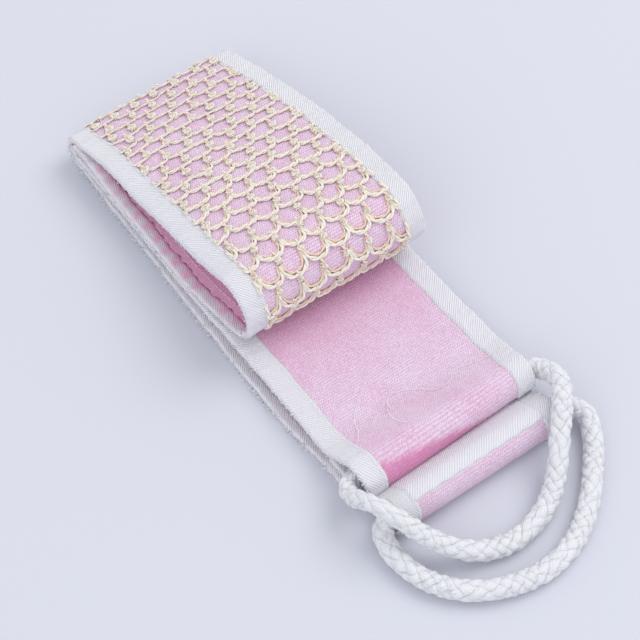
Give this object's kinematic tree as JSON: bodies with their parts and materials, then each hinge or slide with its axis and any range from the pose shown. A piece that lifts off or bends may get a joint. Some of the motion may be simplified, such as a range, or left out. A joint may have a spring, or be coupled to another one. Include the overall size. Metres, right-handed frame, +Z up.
{
  "type": "loofah back scrubber",
  "caption": "Long towelling back strap with a sisal net on one face, taped edges and a braided rope handle through a hem at each end, lying folded in three layers.",
  "frame": {"origin": "middle of the folded strap's underside, with the rope handles left out", "axes": "+X from the folds towards the hems and rope handles, +Y across the strap, +Z up"},
  "size_m": [0.2931, 0.1105, 0.0458],
  "materials": {
    "front_cloth": "matt pale pink knitted towelling",
    "back_cloth": "matt pink knitted towelling",
    "net": "cream twisted sisal yarn, hooked into a net",
    "tape": "white twill tape",
    "rope": "white braided cotton rope",
    "thread": "white sewing thread"
  },
  "bodies": {
    "strap_base": {"front_cloth_bottom": "front_cloth", "back_cloth_bottom": "back_cloth", "net_bottom": "net", "left_tape_bottom": "tape", "right_tape_bottom": "tape", "front_cloth_outer_fold": "front_cloth", "back_cloth_outer_fold": "back_cloth", "net_outer_fold": "net", "left_tape_outer_fold": "tape", "right_tape_outer_fold": "tape", "front_cloth_inner_fold": "front_cloth", "back_cloth_inner_fold": "back_cloth", "net_inner_fold": "net", "left_tape_inner_fold": "tape", "right_tape_inner_fold": "tape", "front_cloth_middle": "front_cloth", "back_cloth_middle": "back_cloth", "net_middle": "net", "left_tape_middle": "tape", "right_tape_middle": "tape", "end_tape_a": "tape", "end_tape_b": "tape", "hem_seam_a": "thread", "hem_seam_b": "thread"},
    "strap_flap": {"front_cloth_flap": "front_cloth", "back_cloth_flap": "back_cloth", "net_flap": "net", "left_tape_flap": "tape", "right_tape_flap": "tape"},
    "handle_a": {"rope_a": "rope", "rope_splice_a": "rope"},
    "handle_b": {"rope_b": "rope", "rope_splice_b": "rope"}
  },
  "joints": [
    {"name": "strap_unfold", "type": "hinge", "parent": "strap_base", "child": "strap_flap", "pos_m": [-0.111, 0, 0.01165], "axis": [0, -1, 0], "range_deg": [0, 165], "deforming": ["front_cloth_outer_fold", "back_cloth_outer_fold", "net_outer_fold", "left_tape_outer_fold", "right_tape_outer_fold", "front_cloth_inner_fold", "back_cloth_inner_fold", "net_inner_fold", "left_tape_inner_fold", "right_tape_inner_fold"]},
    {"name": "handle_a_swing", "type": "hinge", "parent": "strap_base", "child": "handle_a", "pos_m": [0.0935, 0, 0.01145], "axis": [0, -1, 0], "range_deg": [0, 120]},
    {"name": "handle_b_swing", "type": "hinge", "parent": "strap_base", "child": "handle_b", "pos_m": [0.1145, 0, 0.008], "axis": [0, -1, 0], "range_deg": [0, 30]}
  ]
}
